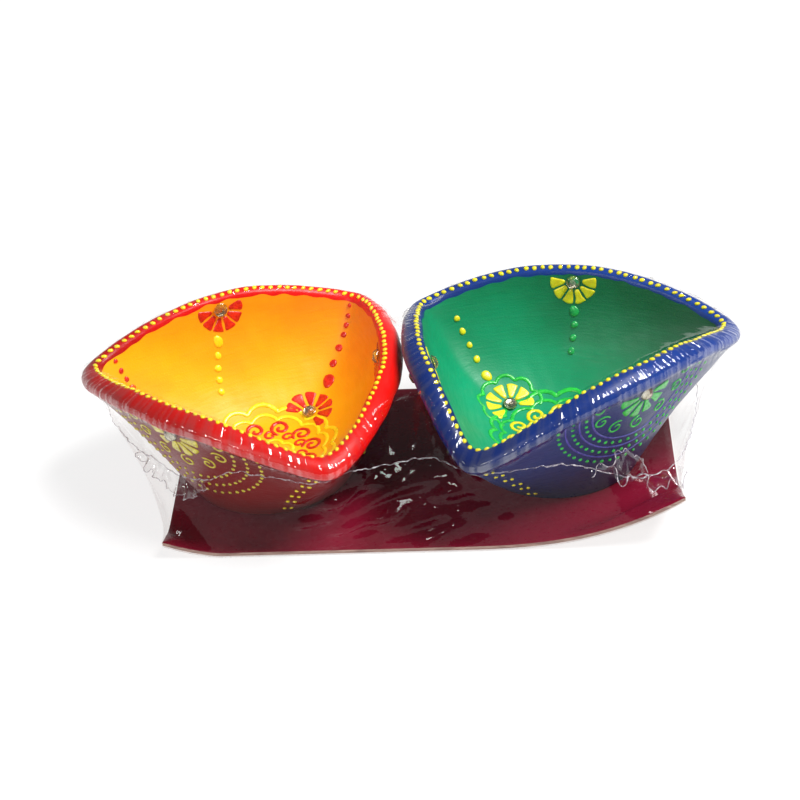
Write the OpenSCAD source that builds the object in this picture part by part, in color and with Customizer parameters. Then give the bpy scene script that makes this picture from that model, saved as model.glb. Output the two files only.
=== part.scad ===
// Pair of hand-painted clay diya oil lamps, shrink-wrapped side by side on a glossy card.
// Millimetres. +X runs along the pair, +Y away from the display side, +Z up.
// The origin is on the resting plane, under the middle of the pair.

/* [Rim shared by both diyas] */
// How fast the rim swings out and dips towards its three corners
corner_power = 2.4; // [1.5:0.1:3]
// Rounding of the corners seen from above, as a share of half a side
plan_rounding = 0.08; // [0.05:0.01:0.3]
// Rounding of the dips at the corners, as a share of half a side
dip_rounding = 0.1; // [0.05:0.01:0.3]
// How far the rolled lip stands out beyond the rim line
lip_overhang = 5; // [4:0.1:6]
// Height of the rolled lip
lip_height = 5; // [4:0.1:6]
// Radius of the flat foot
foot_radius = 22; // [18:0.5:24]
// Thickness of the floor of the bowl
floor_thickness = 5.5; // [4:0.1:7]

/* [Red diya] */
// Centre of the bowl, seen from above
red_centre = [-39.6, -0.5]; // [-60:0.1:60]
// Bearings of the three corners, in degrees
red_bearings = [174.5, 297, 421.5]; // [0:0.5:480]
// Reach of the rim line at the three corners
red_corner_reach = [46.7, 47, 45.8]; // [42:0.1:48]
// Reach of the rim line at the middle of the three sides
red_side_reach = [34.3, 33.9, 33.1]; // [33:0.1:35]
// Height of the rim line at the three corners
red_corner_height = [35.2, 33.3, 33.8]; // [30:0.1:38]
// Height of the rim line at the middle of the three sides
red_side_height = [41.2, 36.5, 41.5]; // [36:0.1:45]
// Bearings of the three stones set under the rim
red_side_stones = [237, 12, 118]; // [0:1:360]
// Bearings of the three stones set low inside the corners
red_corner_stones = [172, 297, 61]; // [0:1:360]

/* [Blue diya] */
// Centre of the bowl, seen from above
blue_centre = [40.1, 3.4]; // [-60:0.1:60]
// Bearings of the three corners, in degrees
blue_bearings = [18, 142.5, 244]; // [0:0.5:480]
// Reach of the rim line at the three corners
blue_corner_reach = [48.8, 44.8, 45]; // [42:0.1:50]
// Reach of the rim line at the middle of the three sides
blue_side_reach = [35.6, 35.6, 34.6]; // [33:0.1:36]
// Height of the rim line at the three corners
blue_corner_height = [33.3, 36.3, 30.2]; // [30:0.1:38]
// Height of the rim line at the middle of the three sides
blue_side_height = [41, 42.3, 45.2]; // [36:0.1:46]
// Bearings of the three stones set under the rim
blue_side_stones = [80, 198, 311]; // [0:1:360]
// Bearings of the three stones set low inside the corners
blue_corner_stones = [18, 135, 244]; // [0:1:360]

/* [Stones] */
// Diameter of a flat-backed glass stone
stone_diameter = 4; // [3:0.1:5]
// Height of a stone above its flat back
stone_height = 1.5; // [1.2:0.1:2]

/* [Card] */
// Length of the card along the pair
card_length = 139; // [130:1:144]
// Depth of the card, front to back
card_depth = 80; // [76:1:84]
// Thickness of the card
card_thickness = 1.3; // [0.8:0.1:2]
// How far the front right corner of the card is pulled up
right_curl = 14; // [0:0.5:15]
// How far the front left corner of the card is pulled up
left_curl = 4; // [0:0.5:6]

/* [Film] */
// Thickness of the shrink film
film_thickness = 0.3; // [0.2:0.05:0.4]
// Height of the welded seam that joins the upper web to the lower web
seam_height = 23; // [20:0.5:24]
// How far the welded seam stands out
seam_width = 0.6; // [0.4:0.1:1]

/* [Hidden] */
$fn = 48;
// Steps round a bowl, and round the film that wraps it
steps = 90;
// Space between the film and a lip
slack = 0.3;

card_bottom = film_thickness;
card_top = card_bottom + card_thickness;
floor_level = card_top + floor_thickness;

// Wall sections: the outer wall is nearly straight, the inner one is a bowl with a steep brim
foot_chamfer = 1.2;
wall_outset = 3.4;
wall_power = 0.93;
mouth_inset = 1.2;
mouth_drop = 0.9;
floor_reach = 38;
floor_power = 0.7;
bowl_power = 3;
brim_power = 20;
brim_share = 0.15;
outer_steps = [0, 0.12, 0.28, 0.46, 0.64, 0.82, 1];
inner_steps = [1, 0.985, 0.96, 0.92, 0.86, 0.78, 0.68, 0.56, 0.42, 0.24];

// Section of the rolled lip, in shares of its overhang and height, from its underside to the mouth
lip_shape = [[0.92, -0.92], [1, -0.72], [0.92, -0.46], [0.72, -0.2],
             [0.44, -0.02], [0.16, 0.05], [-0.08, -0.02]];
// The same section as the taut film feels it
wrap_shape = [[1, -0.86], [1, -0.5], [0.44, 0.05], [0.1, -0.3]];

// Places of the stones down the walls, and the glue that lifts them
side_stone_inner = 0.985;
side_stone_outer = 0.95;
corner_stone_inner = 0.46;
side_stone_glue = 0.35;
corner_stone_glue = 0.45;
stone_girdle = 0.4;
stone_table = 0.5;

// The card and the pull on its corners
card_centre_x = 4.5;
card_left = card_centre_x - card_length / 2;
card_right = card_centre_x + card_length / 2;
card_front = -card_depth / 2;
card_back = card_depth / 2;
card_skew = 0.04;
card_overlap = 8;
card_columns = 28;
card_rows = 12;
back_share = 0.5;
right_span = 58;
right_power = 2.6;
left_span = 16;
left_power = 1.6;
foot_clear = foot_radius + 6;
foot_blend = 14;

// Fields of a bowl's record
CENTRE = 0;
BEARINGS = 1;
CORNER_REACH = 2;
SIDE_REACH = 3;
CORNER_HEIGHT = 4;
SIDE_HEIGHT = 5;
red = [red_centre, red_bearings, red_corner_reach, red_side_reach, red_corner_height, red_side_height];
blue = [blue_centre, blue_bearings, blue_corner_reach, blue_side_reach, blue_corner_height, blue_side_height];

RED_STONES = [for (i = [0:8]) str("red_stone_", i + 1)];
BLUE_STONES = [for (i = [0:8]) str("blue_stone_", i + 1)];
SHELLS = ["card_base", "red_bowl", "blue_bowl", "film_upper", "film_lower"];

// ---- The rim: a rounded triangle whose corners dip ----

// Value at bearing a of a quantity given at three corners and at the three sides between them
function rim_value(a, bearings, at_corner, at_side, rounding) =
    let (turn = (a - bearings[0] + 720) % 360)
    let (second = bearings[1] - bearings[0], third = bearings[2] - bearings[0])
    let (k = turn < second ? 0 : turn < third ? 1 : 2)
    let (start = [0, second, third][k], end = [second, third, 360][k])
    let (u = (turn - start) / (end - start))
    let (near = u < 0.5 ? at_corner[k] : at_corner[(k + 1) % 3])
    let (away = norm([2 * min(u, 1 - u), rounding]) - rounding, farthest = norm([1, rounding]) - rounding)
    at_side[k] + (near - at_side[k]) * pow(1 - away / farthest, corner_power);

function rim_reach(bowl, a) =
    rim_value(a, bowl[BEARINGS], bowl[CORNER_REACH], bowl[SIDE_REACH], plan_rounding);

function rim_height(bowl, a) =
    rim_value(a, bowl[BEARINGS], bowl[CORNER_HEIGHT], bowl[SIDE_HEIGHT], dip_rounding);

function place(bowl, a, r, z) = [bowl[CENTRE].x + r * cos(a), bowl[CENTRE].y + r * sin(a), z];

// Point of the outer wall: s runs from 0 at the foot to 1 under the lip
function outer_point(bowl, a, s) =
    let (r_foot = foot_radius + foot_chamfer, z_foot = card_top + foot_chamfer)
    let (r_top = rim_reach(bowl, a) + wall_outset, z_top = rim_height(bowl, a) - lip_height)
    place(bowl, a, r_foot + (r_top - r_foot) * pow(s, wall_power), z_foot + (z_top - z_foot) * s);

// Point of the inner wall: q runs from 0 at the middle of the floor to 1 at the mouth
function inner_point(bowl, a, q) =
    let (r_top = rim_reach(bowl, a) - mouth_inset, z_top = rim_height(bowl, a) - mouth_drop)
    let (r = q * (floor_reach + (r_top - floor_reach) * pow(q, floor_power)))
    let (rise = (1 - brim_share) * pow(q, bowl_power) + brim_share * pow(q, brim_power))
    place(bowl, a, r, floor_level + (z_top - floor_level) * rise);

// Point of the rolled lip, swollen by grow to give the space just outside it
function lip_point(bowl, a, shape, grow) =
    let (r = rim_reach(bowl, a) + lip_overhang * shape[0] + grow * max(0, shape[0]))
    let (z = rim_height(bowl, a) + lip_height * shape[1] + grow * (shape[1] > -0.5 ? 1 : -1))
    place(bowl, a, r, z);

function bowl_profile(bowl, a) = concat(
    [place(bowl, a, foot_radius, card_top)],
    [for (s = outer_steps) outer_point(bowl, a, s)],
    [for (shape = lip_shape) lip_point(bowl, a, shape, 0)],
    [for (q = inner_steps) inner_point(bowl, a, q)]);

// ---- Lofting ----

// Two triangles between rings that start at points j and j2, from step i to step i2
function quad(j, j2, i, i2) = [[j + i, j2 + i, j2 + i2], [j + i, j2 + i2, j + i2]];

function loft_faces(rings) =
    [for (j = [0:rings - 2], i = [0:steps - 1]) each quad(j * steps, (j + 1) * steps, i, (i + 1) % steps)];

module bowl_shape(bowl) {
    profiles = [for (i = [0:steps - 1]) bowl_profile(bowl, 360 * i / steps)];
    rings = len(profiles[0]);
    foot_centre = rings * steps;
    floor_centre = foot_centre + 1;
    points = concat(
        [for (j = [0:rings - 1], i = [0:steps - 1]) profiles[i][j]],
        [place(bowl, 0, 0, card_top), place(bowl, 0, 0, floor_level)]);
    foot_fan = [for (i = [0:steps - 1]) [foot_centre, i, (i + 1) % steps]];
    last = (rings - 1) * steps;
    floor_fan = [for (i = [0:steps - 1]) [floor_centre, last + (i + 1) % steps, last + i]];
    polyhedron(points, concat(foot_fan, loft_faces(rings), floor_fan));
}

// Closed ring that follows the lip
module lip_band(bowl, grow) {
    last = (len(wrap_shape) - 1) * steps;
    points = [for (shape = wrap_shape, i = [0:steps - 1]) lip_point(bowl, 360 * i / steps, shape, grow)];
    closing = [for (i = [0:steps - 1]) each quad(last, 0, i, (i + 1) % steps)];
    polyhedron(points, concat(loft_faces(len(wrap_shape)), closing));
}

// ---- Stones ----

function across(u, v) = cross(u, v) / norm(cross(u, v));

// Sets a stone on a wall point p, its axis along the wall's normal n
module set_stone(p, n, glue) {
    translate(p + n * glue)
    rotate([0, acos(n.z), atan2(n.y, n.x)]) {
        cylinder(d = stone_diameter, h = stone_girdle);
        translate([0, 0, stone_girdle])
        cylinder(d1 = stone_diameter, d2 = stone_diameter * stone_table, h = stone_height - stone_girdle);
    }
}

module inner_stone(bowl, a, q, glue) {
    p = inner_point(bowl, a, q);
    normal = across(inner_point(bowl, a, q - 0.01) - p, inner_point(bowl, a - 1, q) - p);
    set_stone(p, normal, glue);
}

module outer_stone(bowl, a, s) {
    p = outer_point(bowl, a, s);
    normal = across(outer_point(bowl, a + 1, s) - p, p - outer_point(bowl, a, s - 0.01));
    set_stone(p, normal, side_stone_glue);
}

// Nine stones a bowl: three under the mouth, three low in the corners, three outside under the lip
module stone(bowl, side_stones, corner_stones, i) {
    color("gainsboro") {
        if (i < 3) inner_stone(bowl, side_stones[i], side_stone_inner, side_stone_glue);
        else if (i < 6) inner_stone(bowl, corner_stones[i - 3], corner_stone_inner, corner_stone_glue);
        else outer_stone(bowl, side_stones[i - 6], side_stone_outer);
    }
}

// ---- Card ----

function corner_pull(p, corner, lift, span, power) =
    lift * pow(max(0, 1 - norm(p - corner) / span), power);

// The corners of the card are pulled up by the film, but not under the foot of a bowl
function card_lift(p) =
    let (clear = min(norm(p - red_centre), norm(p - blue_centre)) - foot_clear)
    let (free = pow(min(1, max(0, clear / foot_blend)), 2))
    free * (corner_pull(p, [card_right, card_front], right_curl, right_span, right_power)
        + corner_pull(p, [card_right, card_back], right_curl * back_share, right_span, right_power)
        + corner_pull(p, [card_left, card_front], left_curl, left_span, left_power)
        + corner_pull(p, [card_left, card_back], left_curl * back_share, left_span, left_power));

// Curled plate between x_from and x_to, swollen by grow at its edges and top and by drop below
module card_plate(x_from, x_to, grow, drop) {
    wide = card_columns + 1;
    sheet = wide * (card_rows + 1);
    grid = [for (j = [0:card_rows], i = [0:card_columns])
        let (u = 2 * i / card_columns - 1, v = 2 * j / card_rows - 1)
        let (y = v * card_back)
        let (x = (x_from + x_to + u * (x_to - x_from)) / 2 - card_skew * (y - card_front))
        [x + u * grow, y + v * grow, card_lift([x, y])]];
    points = concat(
        [for (p = grid) [p.x, p.y, p.z + card_bottom - drop]],
        [for (p = grid) [p.x, p.y, p.z + card_top + grow]]);
    cells = [for (j = [0:card_rows - 1], i = [0:card_columns - 1]) j * wide + i];
    bottom = [for (c = cells) each [[c, c + 1, c + wide + 1], [c, c + wide + 1, c + wide]]];
    top = [for (f = bottom) [f[0] + sheet, f[2] + sheet, f[1] + sheet]];
    edge = concat(
        [for (i = [0:card_columns - 1]) [i, i + 1]],
        [for (j = [0:card_rows - 1]) [(j + 1) * wide - 1, (j + 2) * wide - 1]],
        [for (i = [0:card_columns - 1]) [sheet - 1 - i, sheet - 2 - i]],
        [for (j = [0:card_rows - 1]) [(card_rows - j) * wide, (card_rows - j - 1) * wide]]);
    sides = [for (e = edge) each [[e[0], e[0] + sheet, e[1] + sheet], [e[0], e[1] + sheet, e[1]]]];
    polyhedron(points, concat(bottom, top, sides));
}

// ---- Film ----

// Everything inside the film: taut from each lip down to the edges of the card
module wrapped_space(grow, drop) {
    hull() {
        lip_band(red, grow);
        card_plate(card_left, card_overlap, grow, drop);
    }
    hull() {
        lip_band(blue, grow);
        card_plate(-card_overlap, card_right, grow, drop);
    }
}

module slab(z_from, z_to) {
    reach = 2 * card_length;
    translate([-reach, -reach, z_from]) cube([2 * reach, 2 * reach, z_to - z_from]);
}

// ---- Sub-parts ----

module card_base() {
    color("maroon") card_plate(card_left, card_right, 0, 0);
}

module red_bowl() {
    color("crimson") bowl_shape(red);
}

module blue_bowl() {
    color("mediumblue") bowl_shape(blue);
}

module film_upper() {
    color("lightcyan", 0.4)
    difference() {
        intersection() {
            wrapped_space(slack + film_thickness, film_thickness);
            slab(seam_height, 2 * seam_height);
        }
        wrapped_space(slack, 0);
    }
}

module film_lower() {
    color("lightcyan", 0.6)
    difference() {
        union() {
            intersection() {
                wrapped_space(slack + film_thickness, film_thickness);
                slab(-film_thickness, seam_height);
            }
            intersection() {
                wrapped_space(slack + film_thickness + seam_width, 0);
                slab(seam_height - seam_width, seam_height);
            }
        }
        wrapped_space(slack, 0);
    }
}

card_base();
red_bowl();
blue_bowl();
film_upper();
film_lower();
for (i = [0:8]) {
    stone(red, red_side_stones, red_corner_stones, i);
    stone(blue, blue_side_stones, blue_corner_stones, i);
}
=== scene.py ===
"""Looks of a pair of hand-painted clay diya oil lamps, shrink-wrapped side by side on a glossy card.

Shapes are worked out in millimetres with the same formulas as the CAD source, then scaled to metres.
"""
import math
import random

import bpy
import numpy as np
from mathutils import Matrix, Vector
from mathutils.bvhtree import BVHTree


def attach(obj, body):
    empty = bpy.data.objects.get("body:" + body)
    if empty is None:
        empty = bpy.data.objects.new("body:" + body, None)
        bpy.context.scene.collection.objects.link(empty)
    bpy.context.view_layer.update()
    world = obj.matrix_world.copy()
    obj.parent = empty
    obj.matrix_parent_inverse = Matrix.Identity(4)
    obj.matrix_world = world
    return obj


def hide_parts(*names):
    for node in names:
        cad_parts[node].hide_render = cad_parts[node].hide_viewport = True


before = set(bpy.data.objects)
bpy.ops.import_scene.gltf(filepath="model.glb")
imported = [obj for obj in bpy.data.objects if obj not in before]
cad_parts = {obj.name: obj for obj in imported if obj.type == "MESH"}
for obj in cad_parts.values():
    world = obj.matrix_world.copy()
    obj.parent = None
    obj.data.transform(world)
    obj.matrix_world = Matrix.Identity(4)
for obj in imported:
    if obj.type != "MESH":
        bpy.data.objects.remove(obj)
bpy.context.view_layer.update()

MM = 0.001

# ---- Sizes shared with the CAD source, in millimetres and degrees ----

CORNER_POWER = 2.4
PLAN_ROUNDING = 0.08
DIP_ROUNDING = 0.1
LIP_OVERHANG = 5.0
LIP_HEIGHT = 5.0
FOOT_RADIUS = 22.0
FOOT_CHAMFER = 1.2
FILM_THICKNESS = 0.3
CARD_THICKNESS = 1.3
FLOOR_THICKNESS = 5.5
CARD_BOTTOM = FILM_THICKNESS
CARD_TOP = CARD_BOTTOM + CARD_THICKNESS
FLOOR_LEVEL = CARD_TOP + FLOOR_THICKNESS
WALL_OUTSET = 3.4
WALL_POWER = 0.93
MOUTH_INSET = 1.2
MOUTH_DROP = 0.9
FLOOR_REACH = 38.0
FLOOR_POWER = 0.7
BOWL_POWER = 3
BRIM_POWER = 20
BRIM_SHARE = 0.15
LIP_SHAPE = [
    (0.92, -0.92), (1, -0.72), (0.92, -0.46), (0.72, -0.2),
    (0.44, -0.02), (0.16, 0.05), (-0.08, -0.02),
]


# ---- Small helpers ----

def unit(v):
    """v scaled to length 1, along its last axis."""
    return v / np.linalg.norm(v, axis=-1, keepdims=True)


def wobble(points, wavelength, seed, waves=9):
    """A smooth random field of about -1 to 1 over an array of points."""
    rng = np.random.default_rng(seed)
    points = np.asarray(points, float)
    total = np.zeros(points.shape[:-1])
    for _ in range(waves):
        direction = unit(rng.normal(size=points.shape[-1]))
        length = wavelength * rng.uniform(0.65, 1.5)
        total += np.sin(points @ direction * (2 * math.pi / length) + rng.uniform(0, 2 * math.pi))
    return total / math.sqrt(waves)


def smooth_line(points, count, closed=False):
    """A Catmull-Rom curve through points, resampled to count evenly spaced points."""
    p = np.array(points, float)
    n = len(p)
    dense = []
    for i in range(n if closed else n - 1):
        around = np.arange(i - 1, i + 3)
        a, b, c, d = p[around % n if closed else np.clip(around, 0, n - 1)]
        for t in np.linspace(0, 1, 24, endpoint=False):
            squared, cubed = 2 * a - 5 * b + 4 * c - d, 3 * b - a - 3 * c + d
            dense.append(0.5 * (2 * b + (c - a) * t + squared * t**2 + cubed * t**3))
    dense.append(p[0] if closed else p[-1])
    return resampled(np.array(dense), count, closed)


def distances_along(line):
    """How far each point of a line of points is from its start."""
    return np.concatenate([[0], np.cumsum(np.linalg.norm(np.diff(line, axis=0), axis=1))])


def resampled(line, count, closed=False):
    """count evenly spaced points along a line of points."""
    run = distances_along(line)
    at = np.linspace(0, run[-1], count + 1)[:-1] if closed else np.linspace(0, run[-1], count)
    return np.stack([np.interp(at, run, line[:, k]) for k in range(line.shape[1])], 1)


def placed(name, data):
    """An object in the scene that holds data."""
    made = bpy.data.objects.new(name, data)
    bpy.context.scene.collection.objects.link(made)
    return made


def make_piece(name, points, faces, materials, replaced=(), zones=None, smooth=True):
    """A mesh object from points in millimetres, riding on the one body. zones gives each face's material."""
    mesh = bpy.data.meshes.new(name)
    mesh.from_pydata((np.asarray(points, float) * MM).tolist(), [], [tuple(int(i) for i in f) for f in faces])
    for material in materials:
        mesh.materials.append(material)
    if zones is not None:
        mesh.polygons.foreach_set("material_index", np.asarray(zones, np.int32))
    mesh.polygons.foreach_set("use_smooth", [smooth] * len(mesh.polygons))
    mesh.update()
    piece = placed(name, mesh)
    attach(piece, "root")
    if replaced:
        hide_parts(*replaced)
    return piece


def ring_faces(rings, columns, closed=True):
    """Quads between rings of points, where ring j starts at point j * columns."""
    faces = []
    for start in range(0, (rings - 1) * columns, columns):
        for i in range(columns if closed else columns - 1):
            beside = (i + 1) % columns
            faces.append((start + i, start + columns + i, start + columns + beside, start + beside))
    return faces


def flipped(faces):
    """faces turned to face the other way."""
    return [tuple(reversed(face)) for face in faces]


def tube_faces(count, sides, closed=False, base=0):
    """Faces of a tube of count rings of sides points, joined end to end or capped."""
    faces = ring_faces(count, sides)
    last = (count - 1) * sides
    if closed:
        faces += [(last + j, j, (j + 1) % sides, last + (j + 1) % sides) for j in range(sides)]
    else:
        faces += [tuple(range(sides)), tuple(last + j for j in reversed(range(sides)))]
    return [tuple(base + k for k in face) for face in faces]


# ---- The bowls' formulas ----

class Bowl:
    """One clay bowl: its rim, its walls and where its stones sit, by the CAD source's formulas."""

    def __init__(self, name, centre, bearings, corner_reach, side_reach, corner_height, side_height,
                 side_stones, corner_stones):
        self.name = name
        self.centre = np.array(centre, float)
        self.bearings = bearings
        self.corner_reach, self.side_reach = corner_reach, side_reach
        self.corner_height, self.side_height = corner_height, side_height
        self.side_stones, self.corner_stones = side_stones, corner_stones

    def rim_value(self, a, at_corner, at_side, rounding):
        """Value at bearing a of a quantity given at the three corners and at the three sides between them."""
        a = np.asarray(a, float)
        turn = (a - self.bearings[0] + 720) % 360
        second, third = self.bearings[1] - self.bearings[0], self.bearings[2] - self.bearings[0]
        k = np.where(turn < second, 0, np.where(turn < third, 1, 2))
        start = np.array([0, second, third])[k]
        end = np.array([second, third, 360])[k]
        u = (turn - start) / (end - start)
        at_corner, at_side = np.array(at_corner), np.array(at_side)
        near = np.where(u < 0.5, at_corner[k], at_corner[(k + 1) % 3])
        away = np.hypot(2 * np.minimum(u, 1 - u), rounding) - rounding
        farthest = math.hypot(1, rounding) - rounding
        return at_side[k] + (near - at_side[k]) * np.maximum(1 - away / farthest, 0) ** CORNER_POWER

    def reach(self, a):
        return self.rim_value(a, self.corner_reach, self.side_reach, PLAN_ROUNDING)

    def height(self, a):
        return self.rim_value(a, self.corner_height, self.side_height, DIP_ROUNDING)

    def place(self, a, r, z):
        """The place at bearing a, r from the axis and z up."""
        t = np.radians(a)
        x, y = self.centre[0] + r * np.cos(t), self.centre[1] + r * np.sin(t)
        return np.stack(np.broadcast_arrays(x, y, z), -1)

    def seen_from_axis(self, points):
        """The bearing of each point, its distance from the axis, and the rim's reach and height there."""
        flat = points[:, :2] - self.centre
        r = np.hypot(flat[:, 0], flat[:, 1]) + 1e-9
        a = np.degrees(np.arctan2(flat[:, 1], flat[:, 0])) % 360
        return a, r, self.reach(a), self.height(a)

    def outer(self, a, s):
        """Point of the outer wall: s runs from 0 at the foot to 1 under the lip."""
        r_foot, z_foot = FOOT_RADIUS + FOOT_CHAMFER, CARD_TOP + FOOT_CHAMFER
        r_top, z_top = self.reach(a) + WALL_OUTSET, self.height(a) - LIP_HEIGHT
        return self.place(a, r_foot + (r_top - r_foot) * s**WALL_POWER, z_foot + (z_top - z_foot) * s)

    def inner(self, a, q):
        """Point of the inner wall: q runs from 0 at the middle of the floor to 1 at the mouth."""
        r_top, z_top = self.reach(a) - MOUTH_INSET, self.height(a) - MOUTH_DROP
        r = q * (FLOOR_REACH + (r_top - FLOOR_REACH) * q**FLOOR_POWER)
        rise = (1 - BRIM_SHARE) * q**BOWL_POWER + BRIM_SHARE * q**BRIM_POWER
        return self.place(a, r, FLOOR_LEVEL + (z_top - FLOOR_LEVEL) * rise)

    def lip(self, a, out, up):
        return self.place(a, self.reach(a) + LIP_OVERHANG * out, self.height(a) + LIP_HEIGHT * up)

    def wall_frame(self, wall, a, at, facing):
        """A point of a wall, with the directions right, up the wall and out of the clay there."""
        up = unit(wall(a, at + 0.01) - wall(a, at - 0.01))
        normal = unit(np.cross(up, wall(a + 1, at) - wall(a - 1, at))) * facing
        return wall(a, at), np.cross(up, normal), up, normal

    def inner_frame(self, a, q):
        return self.wall_frame(self.inner, a, q, 1)

    def outer_frame(self, a, s):
        return self.wall_frame(self.outer, a, s, -1)


RED = Bowl(
    "red", (-39.6, -0.5), (174.5, 297, 421.5),
    (46.7, 47, 45.8), (34.3, 33.9, 33.1), (35.2, 33.3, 33.8), (41.2, 36.5, 41.5),
    (237, 12, 118), (172, 297, 61),
)
BLUE = Bowl(
    "blue", (40.1, 3.4), (18, 142.5, 244),
    (48.8, 44.8, 45), (35.6, 35.6, 34.6), (33.3, 36.3, 30.2), (41, 42.3, 45.2),
    (80, 198, 311), (18, 135, 244),
)


# ---- Materials ----

BRUSHED_ROUND = (9, 9, 1)  # how far the brush strokes are drawn out along each axis
PLEATED_RADIUS = 42  # of the circle round each bowl that the film's pleats are spaced along


def srgb(r, g, b):
    """Linear colour from the 0 to 255 numbers of a colour picker."""
    shares = [c / 255 for c in (r, g, b)]
    return tuple(c / 12.92 if c <= 0.04045 else ((c + 0.055) / 1.055) ** 2.4 for c in shares) + (1.0,)


def stops_of(places, colours):
    """Colour picker colours at their places from 0 to 1."""
    return [(at, srgb(*colour)) for at, colour in zip(places, colours)]


class Look:
    """A material under construction, with short calls for its nodes."""

    def __init__(self, name):
        self.material = bpy.data.materials.new(name)
        self.material.use_nodes = True
        self.tree = self.material.node_tree
        self.tree.nodes.clear()
        self.output = self.tree.nodes.new("ShaderNodeOutputMaterial")
        self.place = self.node("ShaderNodeTexCoord").outputs["Object"]

    def node(self, kind, inputs=None, **settings):
        made = self.tree.nodes.new(kind)
        for key, value in settings.items():
            setattr(made, key, value)
        for key, value in (inputs or {}).items():
            if isinstance(value, bpy.types.NodeSocket):
                self.tree.links.new(value, made.inputs[key])
            else:
                made.inputs[key].default_value = value
        return made

    def noise(self, per_mm, detail=3.0, stretch=(1, 1, 1), where=None, roughness=0.55):
        """Noise with about per_mm blotches a millimetre, drawn out along the axes by stretch."""
        scaled = self.node("ShaderNodeMapping", {
            "Vector": where or self.place,
            "Scale": tuple(per_mm / MM / s for s in stretch),
        })
        made = self.node("ShaderNodeTexNoise", {
            "Vector": scaled.outputs[0], "Scale": 1.0, "Detail": detail, "Roughness": roughness,
        })
        return made.outputs["Fac"]

    def ramp(self, factor, stops):
        made = self.node("ShaderNodeValToRGB", {"Fac": factor})
        bar = made.color_ramp.elements
        while len(bar) < len(stops):
            bar.new(0.5)
        for element, (at, colour) in zip(bar, stops):
            element.position = at
            element.color = colour
        return made.outputs["Color"]

    def math(self, operation, *values, clamp=False):
        inputs = dict(enumerate(values))
        return self.node("ShaderNodeMath", inputs, operation=operation, use_clamp=clamp).outputs[0]

    def vector(self, operation, one, other):
        return self.node("ShaderNodeVectorMath", {0: one, 1: other}, operation=operation).outputs[0]

    def spread(self, value, low, high, to_low, to_high):
        """value from low to high, stretched and held between to_low and to_high."""
        return self.node("ShaderNodeMapRange", {
            "Value": value, "From Min": low, "From Max": high, "To Min": to_low, "To Max": to_high,
        }).outputs[0]

    def patchy(self, per_mm, detail, least, most):
        """A number that wavers between least and most from blotch to blotch."""
        return self.spread(self.noise(per_mm, detail), 0.3, 0.7, least, most)

    def mix(self, factor, one, other, blend="MIX"):
        inputs = {0: factor, 6: one, 7: other}
        return self.node("ShaderNodeMix", inputs, data_type="RGBA", blend_type=blend).outputs[2]

    def bump(self, height, depth_mm):
        return self.node("ShaderNodeBump", {
            "Height": height, "Distance": depth_mm * MM, "Strength": 1.0,
        }).outputs[0]

    def principled(self, inputs):
        return self.node("ShaderNodeBsdfPrincipled", inputs)

    def finish(self, shader):
        self.tree.links.new(shader.outputs[0], self.output.inputs["Surface"])
        return self.material

    def surface(self, inputs):
        return self.finish(self.principled(inputs))

    def film(self, share, tint, gloss):
        """Clear film of a tint, with a share of gloss."""
        clear = self.node("ShaderNodeBsdfTransparent", {"Color": tint})
        shader = self.principled(gloss)
        mixed = self.node("ShaderNodeMixShader", {0: share, 1: clear.outputs[0], 2: shader.outputs[0]})
        return self.finish(mixed)


def brushed_paint(name, stops, tilt, roughness, coat, stroke_shade=0.35):
    """Acrylic brushed on clay.

    stops are the colours along tilt: three shares of the place in millimetres, and a start. The last argument
    is how much painted shade darkens the paint between the brush strokes.
    """
    look = Look(name)
    spots = look.noise(0.05, 4)
    strokes = look.noise(1.3, 4, BRUSHED_ROUND, roughness=0.7)
    direction = tuple(share / MM for share in tilt[:3])
    axis = look.node("ShaderNodeVectorMath", {0: look.place, 1: direction}, operation="DOT_PRODUCT")
    slope = look.math("ADD", axis.outputs["Value"], tilt[3])
    wavering = look.math("ADD", slope, look.spread(spots, 0.3, 0.7, -0.12, 0.12))
    base = look.ramp(wavering, stops)
    # painted shade: a darker, warmer copy of the paint, mixed in between the brush strokes
    shaded = look.mix(1.0, base, (0.9, 0.82, 0.78, 1), "MULTIPLY")
    worked = look.mix(look.spread(strokes, 0.35, 0.7, 0.0, stroke_shade), base, shaded)
    grain = look.noise(2.2, 3)
    relief = look.math("ADD", look.math("MULTIPLY", strokes, 0.7), look.math("MULTIPLY", grain, 0.35))
    rough_face = look.bump(relief, 0.12)
    return look.surface({
        "Base Color": worked,
        "Roughness": look.spread(strokes, 0.3, 0.7, roughness - 0.07, roughness + 0.1),
        "Normal": rough_face,
        "Coat Weight": coat,
        "Coat Roughness": 0.25,
        "Coat Normal": rough_face,
        "Specular IOR Level": 0.3,
    })


def outliner_paint(name, colour, deep):
    """Thick glossy paint squeezed from a tube: dots, drops and lines."""
    look = Look(name)
    patches = look.noise(0.6, 3)
    return look.surface({
        "Base Color": look.ramp(patches, [(0.35, deep), (0.6, colour)]),
        "Roughness": look.patchy(2.5, 2, 0.22, 0.38),
        "Normal": look.bump(look.noise(1.6, 3), 0.05),
        "Coat Weight": 0.3,
        "Coat Roughness": 0.15,
    })


def glass_crown(name):
    """The clear faceted front of a stone."""
    look = Look(name)
    return look.surface({
        "Base Color": look.ramp(look.noise(0.3, 2), stops_of((0.3, 0.7), [(235, 240, 240), (255, 252, 244)])),
        "Roughness": look.patchy(1.5, 2, 0.01, 0.04),
        "IOR": 1.6,
        "Transmission Weight": 1.0,
    })


def foil_backing(name):
    """The silvery cup behind a stone."""
    look = Look(name)
    return look.surface({
        "Base Color": look.ramp(look.noise(0.5, 3), stops_of((0.3, 0.7), [(196, 186, 160), (245, 240, 228)])),
        "Roughness": look.patchy(1.2, 3, 0.1, 0.25),
        "Metallic": 1.0,
    })


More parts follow.
